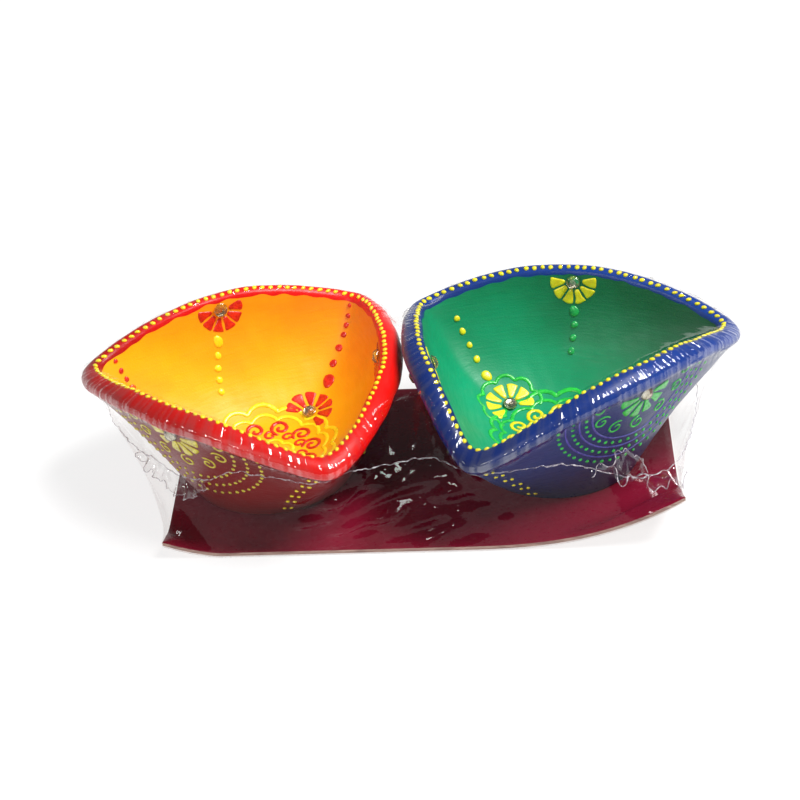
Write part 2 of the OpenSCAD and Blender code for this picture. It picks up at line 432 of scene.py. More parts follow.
def card_face(name):
    """Glossy laminated maroon face."""
    look = Look(name)
    mottle = look.noise(0.04, 4)
    return look.surface({
        "Base Color": look.ramp(mottle, stops_of(
            (0.3, 0.5, 0.75), [(104, 9, 30), (124, 15, 42), (136, 22, 50)])),
        "Roughness": look.patchy(0.25, 3, 0.22, 0.34),
        "Normal": look.bump(look.noise(0.35, 4), 0.06),
        "Specular IOR Level": 0.08,
        "Coat Weight": 0.1,
        "Coat Roughness": 0.08,
    })


def card_board(name):
    """Raw grey-brown board of the cut edges and the underside."""
    look = Look(name)
    fibres = look.noise(1.5, 5, (8, 8, 1))
    return look.surface({
        "Base Color": look.ramp(fibres, stops_of(
            (0.3, 0.55, 0.75), [(126, 92, 86), (172, 140, 128), (198, 172, 158)])),
        "Roughness": look.spread(fibres, 0.3, 0.7, 0.75, 0.95),
        "Normal": look.bump(fibres, 0.1),
    })


def rays_from(look, bowl):
    """Noise that changes only with the bearing from a bowl's middle, like pleats across its lip."""
    from_centre = look.vector("SUBTRACT", look.place, (bowl.centre[0] * MM, bowl.centre[1] * MM, 0.0))
    flat = look.vector("MULTIPLY", from_centre, (1, 1, 0))
    bearing = look.node("ShaderNodeVectorMath", {0: flat}, operation="NORMALIZE").outputs[0]
    around = look.node("ShaderNodeVectorMath", {0: bearing, "Scale": PLEATED_RADIUS * MM}, operation="SCALE")
    return look.noise(0.6, 1, where=around.outputs[0])


def film_look(name, haze, haze_on_lips, tint):
    """Clear shrink film: see-through, mirror-bright where light grazes it, and pleated over the lips."""
    look = Look(name)
    near = look.node("ShaderNodeAttribute", attribute_name="rim_near").outputs["Fac"]
    side = look.node("ShaderNodeSeparateXYZ", {0: look.place}).outputs[0]
    by_blue = look.math("GREATER_THAN", side, 0.0)
    rays = {0: by_blue, 2: rays_from(look, RED), 3: rays_from(look, BLUE)}
    crinkle = look.node("ShaderNodeMix", rays, data_type="FLOAT").outputs[0]
    fine = look.math("MULTIPLY", crinkle, look.math("MULTIPLY", near, near))
    soft = look.math("MULTIPLY", look.noise(0.09, 2), 0.3)
    height = look.math("ADD", fine, soft)
    normal = look.bump(height, 0.85)
    grazing = look.node("ShaderNodeLayerWeight", {"Blend": 0.5, "Normal": normal}).outputs["Facing"]
    glancing = look.math("MULTIPLY", look.math("POWER", grazing, 5.0), 0.45)
    crests = look.spread(crinkle, 0.46, 0.62, 0.12, 1.0)
    base = look.math("ADD", look.math("MULTIPLY", look.math("MULTIPLY", near, crests), haze_on_lips), haze)
    share = look.math("ADD", glancing, base, clamp=True)
    return look.film(share, tint, {
        "Base Color": (0.95, 0.95, 0.95, 1),
        "Metallic": 1.0,
        "Roughness": look.patchy(0.3, 2, 0.03, 0.09),
        "Normal": normal,
    })


def weld_look(name):
    """Melted, whitish film along the welded seam and the edges of its ears."""
    look = Look(name)
    crumple = look.noise(0.9, 4)
    share = look.spread(crumple, 0.35, 0.65, 0.12, 0.6)
    return look.film(share, (0.93, 0.92, 0.93, 1), {
        "Base Color": look.ramp(crumple, stops_of((0.3, 0.7), [(190, 180, 190), (240, 236, 240)])),
        "Roughness": look.spread(crumple, 0.3, 0.7, 0.1, 0.3),
        "Normal": look.bump(crumple, 0.3),
        "Coat Weight": 1.0,
        "Coat Roughness": 0.05,
    })


def floor_look(name):
    """Pale floor that glows a little, like a light table."""
    look = Look(name)
    return look.surface({
        "Base Color": look.ramp(look.noise(0.01, 2), [
            (0.3, (0.27, 0.27, 0.27, 1)), (0.7, (0.29, 0.29, 0.29, 1)),
        ]),
        "Roughness": 0.8,
        "Specular IOR Level": 0.2,
        "Emission Color": (1, 1, 1, 1),
        "Emission Strength": 0.78,
    })


# ---- Clay bowls ----

COLUMNS = 300
OUTER_ROWS = 26
LIP_ROWS = 22
INNER_ROWS = 46
CLAY_UNEVEN = 0.11
# Radius and rise of the rings under the foot
FOOT_RINGS = [
    (FOOT_RADIUS * 0.45, 0), (FOOT_RADIUS * 0.92, 0), (FOOT_RADIUS + 0.45, 0.1), (FOOT_RADIUS + 0.9, 0.45),
]
INSIDE, LIP, OUTSIDE = range(3)


def bowl_points(bowl):
    """Rings of points from the foot, up the outside, over the lip and down to the floor.

    Also the rings where the lip and the inside start.
    """
    a = np.linspace(0, 360, COLUMNS, endpoint=False)
    rings = [bowl.place(a, r, CARD_TOP + rise) for r, rise in FOOT_RINGS]
    rings += [bowl.outer(a, s) for s in np.linspace(0, 1, OUTER_ROWS)]
    lip_start = len(rings) - 1
    section = smooth_line([(0.66, -1.02), (0.8, -1.0), *LIP_SHAPE, (-0.2, -0.1)], LIP_ROWS)
    rings += [bowl.lip(a, out, up) for out, up in section[1:]]
    edge = 0.9968 + 0.0016 * wobble(bowl.inner(a, 1.0), 5, 5)
    inner_start = len(rings)
    rings += [bowl.inner(a, edge * (1 - t)) for t in np.linspace(0, 1, INNER_ROWS)[:-1]]
    points = np.array(rings)
    up_wall = np.gradient(points, axis=0)
    along = np.roll(points, -1, 1) - np.roll(points, 1, 1)
    normals = unit(np.cross(along, up_wall) + 1e-9)
    uneven = wobble(points, 14, 3) * CLAY_UNEVEN + wobble(points, 4.5, 4) * CLAY_UNEVEN * 0.25
    rows = np.arange(len(points))[:, None]
    held = np.clip((rows - len(FOOT_RINGS) + 1) / 4, 0, 1)
    points = points + normals * (uneven * held)[..., None]
    points[..., 2] = np.maximum(points[..., 2], CARD_TOP)
    return points, lip_start, inner_start


def build_bowl(bowl, inside, lip, outside):
    """The clay of a bowl in one closed mesh, kept as bowl.skin for the decoration to be laid on."""
    points, lip_start, inner_start = bowl_points(bowl)
    rings = len(points)
    flat = points.reshape(-1, 3)
    faces = flipped(ring_faces(rings, COLUMNS))
    rows = np.repeat(np.arange(rings - 1), COLUMNS)
    zones = np.where(rows < lip_start, OUTSIDE, np.where(rows < inner_start, LIP, INSIDE))
    foot, floor = len(flat), len(flat) + 1
    flat = np.vstack([flat, bowl.place(0, 0, CARD_TOP), bowl.place(0, 0, FLOOR_LEVEL)])
    last = (rings - 1) * COLUMNS
    for i in range(COLUMNS):
        faces.append((foot, (i + 1) % COLUMNS, i))
        faces.append((floor, last + i, last + (i + 1) % COLUMNS))
    zones = np.concatenate([zones, np.tile([OUTSIDE, INSIDE], COLUMNS)])
    make_piece(f"{bowl.name}_bowl_clay", flat, faces, [inside, lip, outside],
               [f"{bowl.name}_bowl"], zones)
    bowl.skin = BVHTree.FromPolygons([Vector(p) for p in flat], faces)


# ---- Painted decoration: raised dots, petals and lines laid on the clay ----

STONE_HIGH, STONE_LOW, STONE_OUTSIDE = 0.985, 0.46, 0.95  # places of the stones up the walls
RIM_DOT_PLACE = (0.06, 0.05)  # in shares of the lip's overhang and height
RIM_DOT_SPACING = 2.42
DROP_SIZE = 2.5  # past which a dot of a trail is drawn out into a drop
# Radius, lobes, depth and width of the rosette's wavy rings
ROSETTE_RINGS = [(18.6, 12, 1.9, 1.4), (15.9, 12, 1.7, 1.2), (6.2, 6, 1.4, 1.1)]
ROSETTE_CURLS = 10
GARLAND_WIDE, GARLAND_DEEP = 14.8, 11.2
DOTTED_ARCS = (18.6, 22.4, 26.4)
ARC_DOT_SPACING = 2.7
ARC_FLATTEN = 0.94
DROP_FROM = 9  # how far off the clay a drawing is held before it is laid on it
DROP_LENGTH = 30
LIP_UNDERSIDE = 0.97  # how far below the rim the lip's underside is, as a share of the lip's height
UNEVEN_HAND = 0.14
SHORTEST_LINE = 5  # points


class Paint:
    """Raised shapes of one colour on one bowl.

    A frame3 is a place on a wall, with the directions right, up and out of the clay there.
    """

    def __init__(self, bowl, seed):
        self.bowl = bowl
        self.points, self.faces = [], []
        self.hand = random.Random(seed)
        self.under_lip = False

    def drop_on(self, frame3, x, y):
        """Lays a point of a drawing on the clay: returns the place and the normal, or None off the edge."""
        origin, right, up, normal = frame3
        start = origin + right * x + up * y + normal * DROP_FROM
        hit, face_normal, _, _ = self.bowl.skin.ray_cast(Vector(start), Vector(-normal), DROP_LENGTH)
        if hit is None:
            return None
        bearing = math.degrees(math.atan2(hit.y - self.bowl.centre[1], hit.x - self.bowl.centre[0])) % 360
        if self.under_lip and hit.z > self.bowl.height(bearing) - LIP_HEIGHT * LIP_UNDERSIDE:
            return None
        n = np.array(face_normal)
        return np.array(hit), n if n @ normal > 0 else -n

    def blob(self, frame3, outline, height, rings=((1.0, -0.25), (0.97, 0.45), (0.8, 0.85), (0.45, 1.0))):
        """A raised filled shape. rings are shares of the outline and of the height, up to its middle."""
        outline = np.array(outline, float)
        middle = outline.mean(0)
        laid = []
        for share, rise in rings:
            ring = []
            for x, y in middle + (outline - middle) * share:
                found = self.drop_on(frame3, x, y)
                if found is None:
                    return
                ring.append(found[0] + found[1] * rise * height)
            laid.append(ring)
        top = self.drop_on(frame3, *middle)
        if top is None:
            return
        base, n = len(self.points), len(outline)
        for ring in laid:
            self.points.extend(ring)
        self.points.append(top[0] + top[1] * height)
        self.faces += [tuple(base + k for k in f) for f in ring_faces(len(rings), n)]
        crown, last = len(self.points) - 1, base + (len(rings) - 1) * n
        self.faces += [(last + i, crown, last + (i + 1) % n) for i in range(n)]
        self.faces.append(tuple(base + i for i in range(n)))

    def dot(self, frame3, diameter, height=0.4, tall=1.0, x=0.0, y=0.0):
        """A hand-set dot, never quite round."""
        r = diameter * 0.58 * self.hand.uniform(0.92, 1.08)
        skew = self.hand.uniform(0, 6.28)
        ring = []
        for i in range(12):
            t = -i * math.pi / 6
            bulge = r * (1 + 0.06 * math.sin(2 * t + skew) + 0.04 * math.sin(3 * t + 2 * skew))
            ring.append((x + bulge * math.cos(t), y + bulge * math.sin(t) * tall))
        self.blob(frame3, ring, height, ((1.0, -0.25), (0.93, 0.45), (0.62, 0.88)))

    def petal(self, frame3, angle, near, far, inner_width, outer_width):
        """A dab that widens away from the flower's middle, with an uneven blunt end."""
        c, s = math.cos(math.radians(angle)), math.sin(math.radians(angle))
        inner, outer, middle = inner_width / 2, outer_width / 2, (near + far) / 2
        swell = (inner_width + outer_width) / 4 + 0.05
        shape = [(near, -inner), (near - 0.25, 0), (near, inner), (middle, swell), (far - 0.45, outer),
                 (far - 0.05, outer - 0.35), (far + 0.1, 0), (far - 0.1, 0.4 - outer), (far - 0.5, -outer),
                 (middle, -swell)]
        shape = [[c0 + self.hand.uniform(-UNEVEN_HAND, UNEVEN_HAND) for c0 in corner] for corner in shape]
        ring = smooth_line(shape, 26, closed=True)[::-1]
        self.blob(frame3, [(r * c - w * s, r * s + w * c) for r, w in ring], 0.24,
                  ((1.0, -0.3), (0.95, 0.6), (0.75, 1.0), (0.4, 0.85)))

    def line(self, frame3, drawn, width=0.8, height=0.3):
        """A squeezed line through the drawn (x, y) points, broken where it runs off the clay."""
        drawn = np.array(drawn, float)
        length = np.linalg.norm(np.diff(drawn, axis=0), axis=1).sum()
        drawn = resampled(drawn, max(6, int(length / 0.42)))
        run = []
        for found in [self.drop_on(frame3, x, y) for x, y in drawn] + [None]:
            if found is not None:
                run.append(found)
                continue
            if len(run) >= SHORTEST_LINE:
                self.tube(np.array([f[0] for f in run]), np.array([f[1] for f in run]), width, height)
            run = []

    def tube(self, path, normals, width, height):
        """A low rounded ridge along a path, thinner at its ends."""
        ahead = unit(np.gradient(path, axis=0) + 1e-9)
        across = unit(np.cross(ahead, normals) + 1e-9)
        base, count, sides = len(self.points), len(path), 8
        for k in range(count):
            at_end = min(k, count - 1 - k)
            unsteady = 1 + 0.1 * math.sin(1.7 * k + base) * self.hand.uniform(0.4, 1)
            taper = min(1.0, 0.45 + 0.3 * at_end) * unsteady
            for j in range(sides):
                t = 2 * math.pi * j / sides
                rise = math.sin(t) * height * taper * (1.0 if math.sin(t) > 0 else 0.4)
                self.points.append(path[k] + across[k] * math.cos(t) * width / 2 * taper + normals[k] * rise)
        self.faces += tube_faces(count, sides, base=base)

    def build(self, name, material):
        make_piece(name, np.array(self.points), self.faces, [material])


def spiral(x, y, radius, start, turns, sense=1):
    """A curl that winds in to its middle, to the left, or with a sense of -1 to the right."""
    steps = int(22 * turns)
    drawn = []
    for i in range(steps + 1):
        t = i / steps
        r = radius * (1 - t) ** 0.8 + 0.28
        w = math.radians(start) + sense * 2 * math.pi * turns * t
        drawn.append((x + r * math.cos(w), y + r * math.sin(w)))
    return drawn


def fan(paint, frame3, angles, near=2.75, far=6.6, inner_width=1.1, outer_width=3.1):
    """Petals at the given angles round a stone."""
    for angle in angles:
        paint.petal(frame3, angle, near, far, inner_width, outer_width)


def scallops(paint, frame3, radius, lobes, depth, width, start=0.0, sweep=360.0):
    """A wavy ring of round lobes."""
    drawn = []
    count = int(lobes * 12 * sweep / 360)
    for i in range(count + 1):
        w = math.radians(start + sweep * i / count)
        lobe = abs(math.sin(lobes * w / 2))
        r = radius - depth * (1 - lobe ** 0.7)
        drawn.append((r * math.cos(w), r * math.sin(w)))
    paint.line(frame3, drawn, width, 0.22)


def rim_dots(paint):
    """The row of dots round the mouth, evenly spaced by eye."""
    bowl = paint.bowl
    a = np.linspace(0, 360, 1441)
    run = distances_along(bowl.lip(a, *RIM_DOT_PLACE))
    count = int(run[-1] / RIM_DOT_SPACING)
    for k in range(count):
        at = np.interp((k + paint.hand.uniform(-0.09, 0.09)) * run[-1] / count, run, a)
        out = unit(bowl.lip(at, 0.3, 0.0) - bowl.lip(at, -0.1, 0.0))
        along = unit(bowl.lip(at + 1, *RIM_DOT_PLACE) - bowl.lip(at - 1, *RIM_DOT_PLACE))
        here = (bowl.lip(at, *RIM_DOT_PLACE), along, out, unit(np.cross(out, along)))
        paint.dot(here, 1.22, 0.5, y=paint.hand.uniform(-0.16, 0.16))


def trail(paint, bowl, bearing, steps):
    """Dots down the inside. Each step is the turn from the bearing, the place up the wall and the size."""
    for turn, q, size in steps:
        paint.dot(bowl.inner_frame(bearing + turn, q), size, 0.45, 1.25 if size > DROP_SIZE else 1.05)


def inner_marks(bowl, petals, dots, outline, curls):
    """Everything painted inside: flowers at the stones, trails of dots, and the rosette on the floor."""
    for bearing in bowl.side_stones:
        high = bowl.inner_frame(bearing, STONE_HIGH)
        fan(petals, high, [186 + 34.5 * k for k in range(6)], outer_width=3.2)
    trail(dots, bowl, bowl.back_stone, bowl.back_trail)
    for bearing, turn in zip(bowl.corner_stones, bowl.corner_turns):
        low = bowl.inner_frame(bearing, STONE_LOW)
        fan(petals, low, [-28 + 36.5 * k for k in range(7)], far=7.0, outer_width=3.3)
        trail(petals, bowl, bearing + turn, bowl.corner_trail)
        if bowl is BLUE:
            scallops(outline, low, 9.4, 9, 1.5, 1.1, start=-38, sweep=256)
    centre = np.append(bowl.centre, FLOOR_LEVEL)
    floor = (centre, np.array([1.0, 0, 0]), np.array([0, 1.0, 0]), np.array([0, 0, 1.0]))
    for radius, lobes, depth, width in ROSETTE_RINGS:
        scallops(outline, floor, radius, lobes, depth, width)
    for k in range(ROSETTE_CURLS):
        w = math.radians(360 / ROSETTE_CURLS * k + 12)
        x, y = 11.4 * math.cos(w), 11.4 * math.sin(w)
        curls.line(floor, spiral(x, y, 2.6, math.degrees(w) + 180, 1.4, -1), 1.15, 0.26)
        x, y = 8.3 * math.cos(w + 0.28), 8.3 * math.sin(w + 0.28)
        curls.line(floor, spiral(x, y, 1.5, math.degrees(w), 1.0), 0.95, 0.22)
    fan(curls, floor, [60 * k + 20 for k in range(6)], 1.4, 4.2, 0.7, 2.0)


def half_ring(radius, start, end, count):
    """Points along a flattened half ring, between two angles."""
    around = np.radians(np.linspace(start, end, count))
    return [(radius * math.cos(w), radius * ARC_FLATTEN * math.sin(w)) for w in around]


def outer_marks(bowl, petals, lines, corner_dots, faint):
    """Everything painted outside, under the lip: a fan at each stone, curls round it, arcs of dots beyond."""
    for paint in (petals, lines, corner_dots, faint):
        paint.under_lip = True
    for bearing in bowl.side_stones_outside:
        here = bowl.outer_frame(bearing, 0.93)
        fan(petals, here, [186 + 33.5 * k for k in range(6)], 2.8, 8.2, 1.2, 3.3)
        for k, w in enumerate(np.linspace(178, 362, 7)):
            x, y = GARLAND_WIDE * math.cos(math.radians(w)), GARLAND_DEEP * math.sin(math.radians(w))
            lines.line(here, spiral(x, y, 2.2, w + 175, 1.3, 1 if k < 4 else -1), 0.6, 0.24)
        for radius in DOTTED_ARCS:
            for x, y in half_ring(radius, 180, 360, int(math.pi * radius / ARC_DOT_SPACING) + 1):
                lines.dot(here, 0.92, 0.3, x=x, y=y)
        for radius in bowl.faint_arcs:
            faint.line(here, half_ring(radius, 182, 358, 60), 0.55, 0.14)
    for bearing in bowl.bearings:
        for s in np.linspace(0.1, 0.92, 6):
            turn = bowl.dot_row_side * (12 - 7.6 * s)
            for x in (-0.95, 0.95):
                corner_dots.dot(bowl.outer_frame(bearing + turn, s), 0.95, 0.3, x=x)


# ---- Stones ----

# Height, radius and turn of each ring of corners, up from the foil cup to the table
STONE_RINGS = [
    (0.0, 1.3, 0), (0.25, 1.97, 0), (0.5, 2.0, 0), (0.62, 1.93, 0.5), (1.12, 1.5, 0), (1.5, 1.02, 0.5),
]
STONE_SIDES = 10
CROWN, FOIL = 0, 1


def facet_stone(points, faces, zones, frame3, glue):
    """Adds a round foil-backed stone: a flat table, rows of facets and a shallow foil cup."""
    origin, right, up, normal = frame3
    base = len(points)
    for z, r, turn in STONE_RINGS:
        for i in range(STONE_SIDES):
            w = 2 * math.pi * (i + turn) / STONE_SIDES
            points.append(origin + normal * (glue + z) + right * r * math.cos(w) + up * r * math.sin(w))
    for k in range(len(STONE_RINGS) - 1):
        turn, next_turn = STONE_RINGS[k][2], STONE_RINGS[k + 1][2]
        for quad in ring_faces(2, STONE_SIDES):
            a, c, d, b = (base + k * STONE_SIDES + corner for corner in quad)
            if turn == next_turn:
                facets = [(a, b, d, c)]
            elif turn:
                facets = [(a, d, c), (a, b, d)]
            else:
                facets = [(a, b, c), (b, d, c)]
            faces += facets
            zones += [FOIL if k < 1 else CROWN] * len(facets)
    table = base + (len(STONE_RINGS) - 1) * STONE_SIDES
    faces.append(tuple(table + i for i in range(STONE_SIDES)))
    faces.append(tuple(base + i for i in reversed(range(STONE_SIDES))))
    zones += [CROWN, FOIL]


def build_stones(bowl, crown, foil):
    """All nine stones of a bowl."""
    points, faces, zones = [], [], []
    for bearing in bowl.side_stones:
        facet_stone(points, faces, zones, bowl.inner_frame(bearing, STONE_HIGH), 0.3)
        facet_stone(points, faces, zones, bowl.outer_frame(bearing, STONE_OUTSIDE), 0.3)
    for bearing in bowl.corner_stones:
        facet_stone(points, faces, zones, bowl.inner_frame(bearing, STONE_LOW), 0.45)
    nodes = [f"{bowl.name}_stone_{i}" for i in range(1, 10)]
    make_piece(f"{bowl.name}_bowl_stones", np.array(points), faces, [crown, foil],
               nodes, zones, smooth=False)


# ---- Card ----

CARD_LENGTH = 139.0
CARD_DEPTH = 80.0
CARD_CENTRE_X = 4.5
CARD_SKEW = 0.04
CARD_LEFT = CARD_CENTRE_X - CARD_LENGTH / 2
CARD_RIGHT = CARD_CENTRE_X + CARD_LENGTH / 2
CARD_PULLS = [  # corner x, corner y, lift, span, power
    (CARD_RIGHT, -40.0, 14.0, 58.0, 2.6),
    (CARD_RIGHT, 40.0, 7.0, 58.0, 2.6),
    (CARD_LEFT, -40.0, 4.0, 16.0, 1.6),
    (CARD_LEFT, 40.0, 2.0, 16.0, 1.6),
]
FOOT_CLEAR = FOOT_RADIUS + 6
FOOT_BLEND = 14.0
CARD_EDGE_ROUNDING = 0.16
FACE, BOARD = 0, 1


def card_lift(x, y):
    """How far the pull on the corners lifts the card at a place, but not under the foot of a bowl."""
    clear = np.minimum(*(np.hypot(x - b.centre[0], y - b.centre[1]) for b in (RED, BLUE))) - FOOT_CLEAR
    free = np.clip(clear / FOOT_BLEND, 0, 1) ** 2
    pull = sum(lift * np.maximum(0, 1 - np.hypot(x - cx, y - cy) / span) ** power
               for cx, cy, lift, span, power in CARD_PULLS)
    return free * pull


def card_place(u, v):
    """Plan position for u and v from -1 to 1."""
    y = v * CARD_DEPTH / 2
    x = CARD_CENTRE_X + u * CARD_LENGTH / 2 - CARD_SKEW * (y + CARD_DEPTH / 2)
    return x, y


def build_card(face, board):
    """The card in one closed mesh: laminated above, raw board at its edges and below."""
    columns, rows = 140, 80
    u = np.concatenate([[-1], np.linspace(-0.997, 0.997, columns - 1), [1]])
    v = np.concatenate([[-1], np.linspace(-0.995, 0.995, rows - 1), [1]])
    uu, vv = np.meshgrid(u, v)
    x, y = card_place(uu, vv)
    z = card_lift(x, y)
    at_edge = (np.abs(uu) == 1) | (np.abs(vv) == 1)
    soft = np.where(at_edge, CARD_EDGE_ROUNDING, 0.0)
    bottom = np.stack([x, y, z + CARD_BOTTOM + soft], -1).reshape(-1, 3)
    top = np.stack([x, y, z + CARD_TOP - soft], -1).reshape(-1, 3)
    wide, sheet = columns + 1, (columns + 1) * (rows + 1)
    faces, zones = [], []
    for j in range(rows):
        for i in range(columns):
            c = j * wide + i
            faces.append((c + wide, c + wide + 1, c + 1, c))
            faces.append((c + sheet, c + 1 + sheet, c + wide + 1 + sheet, c + wide + sheet))
            zones += [BOARD, FACE]
    border = [*range(columns), *(j * wide + columns for j in range(rows)),
              *(rows * wide + columns - i for i in range(columns)), *((rows - j) * wide for j in range(rows))]
    for k, a in enumerate(border):
        b = border[(k + 1) % len(border)]
        faces.append((a, b, b + sheet, a + sheet))
        zones.append(BOARD)
    points = np.vstack([bottom, top])
    make_piece("card_sheet", points, faces, [face, board], ["card_base"], zones)


# ---- Shrink film ----

FRONT_COLUMNS = 220
SIDE_COLUMNS = 100
COLUMNS_BY_SIDE = (FRONT_COLUMNS, SIDE_COLUMNS, FRONT_COLUMNS, SIDE_COLUMNS)  # front, right, back, left
LOWER_ROWS = 46
# The welded seam, from corner to corner of the pack
SEAM = [
    [(-72, -23, 25), (-66, -29, 25), (-59, -34, 23), (-51, -39, 24.5), (-43, -42.3, 29), (-32, -44.5, 28.5),
     (-22, -46.2, 27.2), (-13, -41, 27), (-4, -33, 23.5), (8, -30.5, 23.6), (17, -37, 24), (27, -40, 24.9),
     (37, -39.5, 25.9), (46, -38.8, 25.6), (54, -36.5, 21.6), (62, -33.5, 17.5), (70, -29, 16.6)],
    [(70, -29, 16.6), (75, -17, 15.5), (78.5, 0, 16), (79, 14, 18), (74, 27, 20)],
    [(74, 27, 20), (62, 34, 23), (42, 39, 24), (20, 40, 24), (6, 34, 23), (-5, 33, 23),
     (-18, 40, 24), (-38, 37.5, 25), (-58, 31, 24), (-72, 23, 24)],
    [(-72, 23, 24), (-79, 12, 25), (-83.5, 1, 25.5), (-80, -11, 25.5), (-72, -23, 25)],
]
LIP_ROLLS = ((0.8, -1.55, 2.1), (2.9, -2.9, 2.4))  # beyond the rim line, below it, and the film's distance
LIP_HOLD = (4.98, -1.7)  # where the film turns down over a lip, beyond the rim line and below it
LIP_SIDE = (5.3, -2.9)  # where the film leaves the lip for the wall
UNDER_LIP_RUN = 0.6
WALL_GAP = 0.35
WALL_THICKNESS = 4.5
SKIRT_ROWS = 12  # from the seam up to where the film turns over a lip
START_RISE = 10  # how far above its edge the top of the film starts, before it is pulled tight
STRETCH_ROUNDS = (400, 160, 90)  # on a coarse grid, then on one twice as fine, and again
RELAX_ROUNDS = 260
PUSH_EVERY = 10
GAP_HALF = 7.0  # half the width over which the film passes from one lip to the other
GAP_TUCK = 0.3  # how far the film is drawn in between the bowls, as a share
GAP_TUCK_WIDTH = 9.0
UNDER_CARD = 0.02  # level of the film under the card


def on_roll(t):
    """Place and film distance along the line between the two rolls."""
    return [one + (other - one) * t for one, other in zip(*LIP_ROLLS)]


def nearest_on_roll(dr, dz):
    """The same for the place on that line nearest to dr beyond the rim line and dz above it."""
    (out0, down0, _), (out1, down1, _) = LIP_ROLLS
    run_out, run_down = out1 - out0, down1 - down0
    share = ((dr - out0) * run_out + (dz - down0) * run_down) / (run_out**2 + run_down**2)
    return on_roll(np.clip(share, 0, 1))


def off_the_bowls(points):
    """points, moved out of the lips and out of the walls under them."""
    moved = points.copy()
    foot = FOOT_RADIUS + FOOT_CHAMFER
    foot_level = CARD_TOP + FOOT_CHAMFER
    for bowl in (RED, BLUE):
        a, r, reach, height = bowl.seen_from_axis(moved)
        dr, dz = r - reach, moved[:, 2] - height
        s = np.clip((moved[:, 2] - foot_level) / (height - LIP_HEIGHT - foot_level), 0, 1)
        wall = foot + (reach + WALL_OUTSET - foot) * s**WALL_POWER + WALL_GAP - reach
        under = np.clip((LIP_SIDE[1] - dz) / (LIP_HEIGHT + LIP_SIDE[1] + UNDER_LIP_RUN), 0, 1)
        limit = LIP_SIDE[0] * (1 - under) + wall * under
        blocked = (dz < LIP_SIDE[1]) & (dr < limit) & (dr > limit - WALL_THICKNESS)
        dr = np.where(blocked, limit, dr)
        near_out, near_down, size = nearest_on_roll(dr, dz)
        away = np.hypot(dr - near_out, dz - near_down) + 1e-9
        push = np.where(away < size, size / away, 1.0)
        out, down = near_out + (dr - near_out) * push, near_down + (dz - near_down) * push
        moved = bowl.place(a, reach + out, height + down)
    return moved


def lip_gap(points):
    """How far points are from the nearer lip."""
    gaps = []
    for bowl in (RED, BLUE):
        _, r, reach, height = bowl.seen_from_axis(points)
        near_out, near_down, size = nearest_on_roll(r - reach, points[:, 2] - height)
        gaps.append(np.hypot(r - reach - near_out, points[:, 2] - height - near_down) - size)
    return np.min(gaps, axis=0)


def lip_top(points):
    """The level that the film has to keep over each lip, and zero elsewhere."""
    level = np.zeros(len(points))
    for bowl in (RED, BLUE):
        _, r, reach, height = bowl.seen_from_axis(points)
        for t in np.linspace(0, 1, 5):
            out, down, size = on_roll(t)
            left = size**2 - (r - reach - out) ** 2
            top = height + down + np.sqrt(np.maximum(left, 0))
            level = np.where(left > 0, np.maximum(level, top), level)
    return level


def over_the_lips(seam):
    """Where the film turns down over a lip, or between the lips, above each point of the seam."""
    above = []
    for bowl in (RED, BLUE):
        a, _, reach, height = bowl.seen_from_axis(seam)
        above.append(bowl.place(a, reach + LIP_HOLD[0], height + LIP_HOLD[1]))
    t = np.clip((seam[:, :1] + GAP_HALF) / (2 * GAP_HALF), 0, 1)
    share = t * t * (3 - 2 * t)
    over = above[0] * (1 - share) + above[1] * share
    over[:, 1] *= 1 - GAP_TUCK * np.exp(-((over[:, 0] / GAP_TUCK_WIDTH) ** 2))
    over[:, 2] = np.maximum(over[:, 2], lip_top(over))
    return over


def stretched(grid, rounds):
    """The film inside its fixed edge, pulled tight over the lips."""
    for _ in range(rounds):
        middle = (grid[:-2, 1:-1] + grid[2:, 1:-1] + grid[1:-1, :-2] + grid[1:-1, 2:]) / 4
        level = lip_top(middle.reshape(-1, 3)).reshape(middle.shape[:2])
        middle[..., 2] = np.maximum(middle[..., 2], level)
        grid[1:-1, 1:-1] = middle
    return grid


def doubled(grid):
    """The grid with a new row and column between each pair."""
    rows, columns = grid.shape[:2]
    wide = np.zeros((rows, columns * 2 - 1, 3))
    wide[:, ::2] = grid
    wide[:, 1::2] = (grid[:, :-1] + grid[:, 1:]) / 2
    tall = np.zeros((rows * 2 - 1, columns * 2 - 1, 3))
    tall[::2] = wide
    tall[1::2] = (wide[:-1] + wide[1:]) / 2
    return tall


def spread_along(side, count):
    """count points along a side of the seam, by their share of its points."""
    at = np.linspace(0, len(side) - 1, count)
    return np.stack([np.interp(at, np.arange(len(side)), side[:, k]) for k in range(3)], 1)


def put_ring(grid, step, values):
    """Sets the step-th ring of the grid to values(side, count) of the front, right, back and left sides."""
    rows, columns = grid.shape[0] - 2 * step, grid.shape[1] - 2 * step
    inner = grid[step:step + rows, step:step + columns]
    inner[0] = values(0, columns)
    inner[-1] = values(2, columns)[::-1]
    inner[:, -1] = values(1, rows)
    inner[:, 0] = values(3, rows)[::-1]


